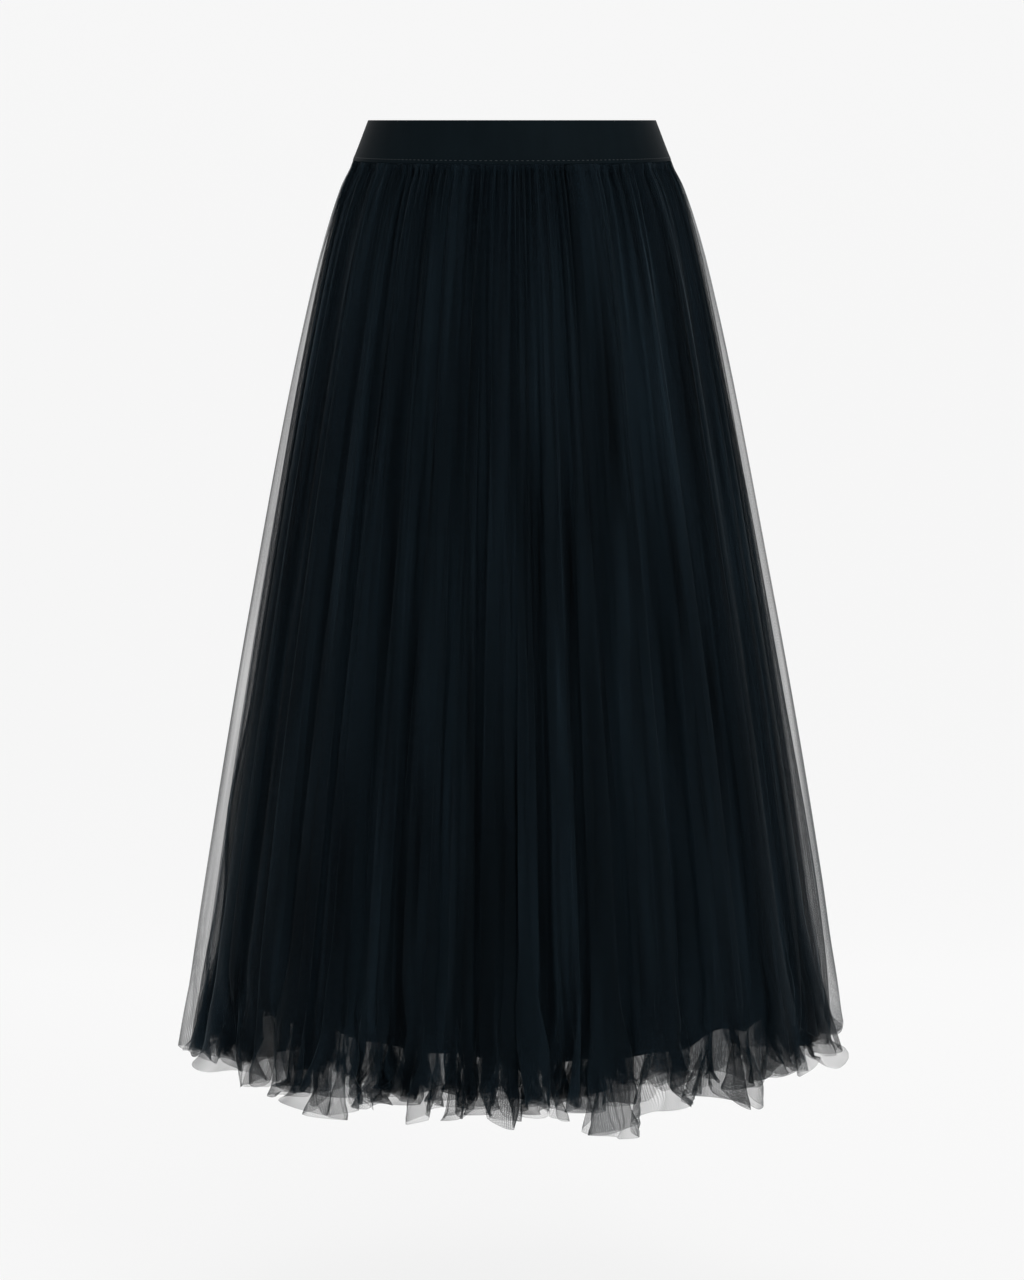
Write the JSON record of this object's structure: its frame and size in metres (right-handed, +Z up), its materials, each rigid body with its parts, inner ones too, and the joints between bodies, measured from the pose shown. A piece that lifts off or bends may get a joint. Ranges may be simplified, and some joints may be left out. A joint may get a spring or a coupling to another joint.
{
  "type": "tulle skirt",
  "caption": "Gathered midi skirt of layered sheer net over an opaque lining, held by a wide elastic waistband, shown filled out and hollow.",
  "frame": {"origin": "middle of the waist opening, halfway down the waistband, where the wearer's waist holds the skirt", "axes": "+Z up along the body, -Y towards the front, +X to the right of the front view (the wearer's left)"},
  "size_m": [0.5916, 0.4952, 0.838],
  "materials": {
    "elastic": "woven ribbed elastic, near black, soft sheen",
    "net": "fine soft net, blue black, sheer, matt",
    "lining": "plain opaque weave, near black, matt"
  },
  "bodies": {
    "root": {"waistband": "elastic", "tulle_layer_1": "net", "tulle_layer_2": "net", "tulle_layer_3": "net", "tulle_layer_4": "net", "lining": "lining"}
  },
  "joints": []
}
